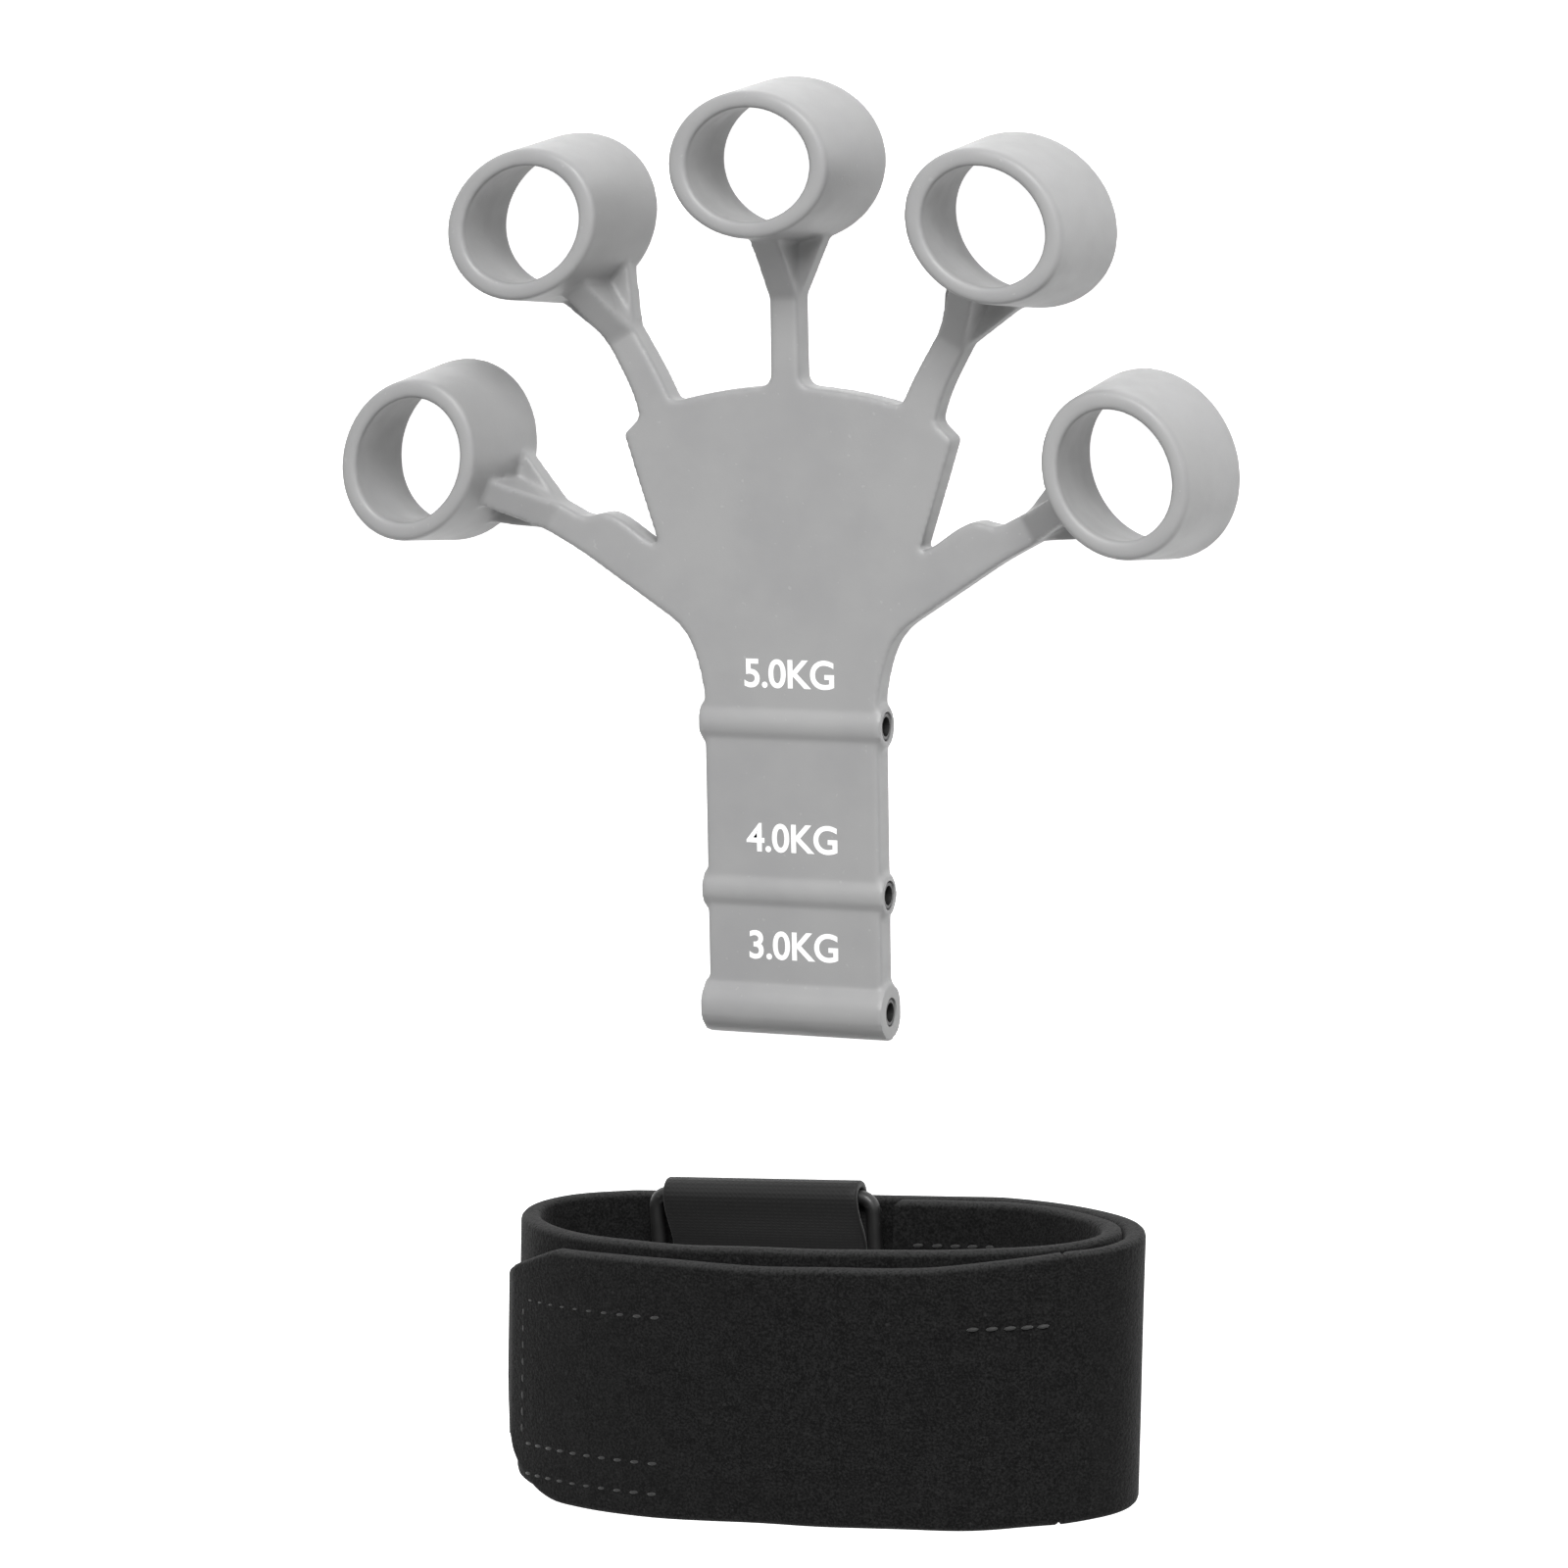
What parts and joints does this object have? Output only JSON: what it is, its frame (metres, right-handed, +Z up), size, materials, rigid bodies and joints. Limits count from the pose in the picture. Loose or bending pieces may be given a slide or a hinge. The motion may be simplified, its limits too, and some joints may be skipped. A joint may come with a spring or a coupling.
{
  "type": "finger exerciser",
  "caption": "Silicone hand-shaped resistance harness with finger loops and a ribbed stem, plus a hook-and-loop wrist strap with a wire clip.",
  "frame": {"origin": "on the table under the middle of the whole object's box", "axes": "+Y from the wrist to the fingertips, +X from the thumb loop to the little-finger loop, +Z up from the table"},
  "size_m": [0.138, 0.2114, 0.0458],
  "materials": {
    "silicone": "satin grey silicone rubber, moulded, fine matte skin",
    "liner": "black extruded nylon tube",
    "strap_fabric": "black brushed loop-pile fabric on foam, sewn edges",
    "hook_tape": "black woven tape with nylon hooks",
    "webbing": "black smooth woven polyester, sewn",
    "clip_wire": "black coated spring steel wire"
  },
  "bodies": {
    "harness": {"palm_pad": "silicone", "rib_liner_low": "liner", "rib_liner_mid": "liner", "rib_liner_high": "liner"},
    "thumb_root": {"thumb_arm": "silicone"},
    "thumb_tip": {"thumb_loop": "silicone"},
    "index_root": {"index_arm": "silicone"},
    "index_tip": {"index_loop": "silicone"},
    "middle_root": {"middle_arm": "silicone"},
    "middle_tip": {"middle_loop": "silicone"},
    "ring_finger_root": {"ring_finger_arm": "silicone"},
    "ring_finger_tip": {"ring_finger_loop": "silicone"},
    "little_root": {"little_arm": "silicone"},
    "little_tip": {"little_loop": "silicone"},
    "strap": {"strap_band": "strap_fabric", "wire_keeper": "webbing"},
    "flap": {"strap_flap": "strap_fabric", "hook_patch": "hook_tape"},
    "clip": {"wire_clip": "clip_wire"}
  },
  "joints": [
    {"name": "thumb_flex", "type": "hinge", "parent": "harness", "child": "thumb_root", "pos_m": [-0.02961, 0.03497, 0.0043], "axis": [0.4695, 0.8829, 0], "range_deg": [-45, 45], "stiffness_Nm_per_rad": 0.08},
    {"name": "thumb_stretch", "type": "slide", "parent": "thumb_root", "child": "thumb_tip", "axis": [-0.8829, 0.4695, 0], "range_m": [0, 0.012], "stiffness_N_per_m": 400},
    {"name": "index_flex", "type": "hinge", "parent": "harness", "child": "index_root", "pos_m": [-0.02275, 0.06064, 0.0043], "axis": [0.866, 0.5, 0], "range_deg": [-45, 45], "stiffness_Nm_per_rad": 0.08},
    {"name": "index_stretch", "type": "slide", "parent": "index_root", "child": "index_tip", "axis": [-0.5, 0.866, 0], "range_m": [0, 0.012], "stiffness_N_per_m": 400},
    {"name": "middle_flex", "type": "hinge", "parent": "harness", "child": "middle_root", "pos_m": [0, 0.06425, 0.0043], "axis": [1, 0, 0], "range_deg": [-45, 45], "stiffness_Nm_per_rad": 0.08},
    {"name": "middle_stretch", "type": "slide", "parent": "middle_root", "child": "middle_tip", "axis": [0, 1, 0], "range_m": [0, 0.012], "stiffness_N_per_m": 400},
    {"name": "ring_finger_flex", "type": "hinge", "parent": "harness", "child": "ring_finger_root", "pos_m": [0.02275, 0.06064, 0.0043], "axis": [0.866, -0.5, 0], "range_deg": [-45, 45], "stiffness_Nm_per_rad": 0.08},
    {"name": "ring_finger_stretch", "type": "slide", "parent": "ring_finger_root", "child": "ring_finger_tip", "axis": [0.5, 0.866, 0], "range_m": [0, 0.012], "stiffness_N_per_m": 400},
    {"name": "little_flex", "type": "hinge", "parent": "harness", "child": "little_root", "pos_m": [0.02961, 0.03497, 0.0043], "axis": [0.4695, -0.8829, 0], "range_deg": [-45, 45], "stiffness_Nm_per_rad": 0.08},
    {"name": "little_stretch", "type": "slide", "parent": "little_root", "child": "little_tip", "axis": [0.8829, 0.4695, 0], "range_m": [0, 0.012], "stiffness_N_per_m": 400},
    {"name": "strap_pull", "type": "slide", "parent": "harness", "child": "strap", "axis": [0, 1, 0], "range_m": [-0.02, 0.006]},
    {"name": "flap_peel", "type": "hinge", "parent": "strap", "child": "flap", "pos_m": [0.0538, -0.06084, 0.03736], "axis": [0.0409, 0.9992, 0], "range_deg": [0, 100]},
    {"name": "clip_swing", "type": "hinge", "parent": "strap", "child": "clip", "pos_m": [-0.00598, -0.06316, 0.0059], "axis": [-0.9988, -0.0489, 0], "range_deg": [0, 180]}
  ]
}
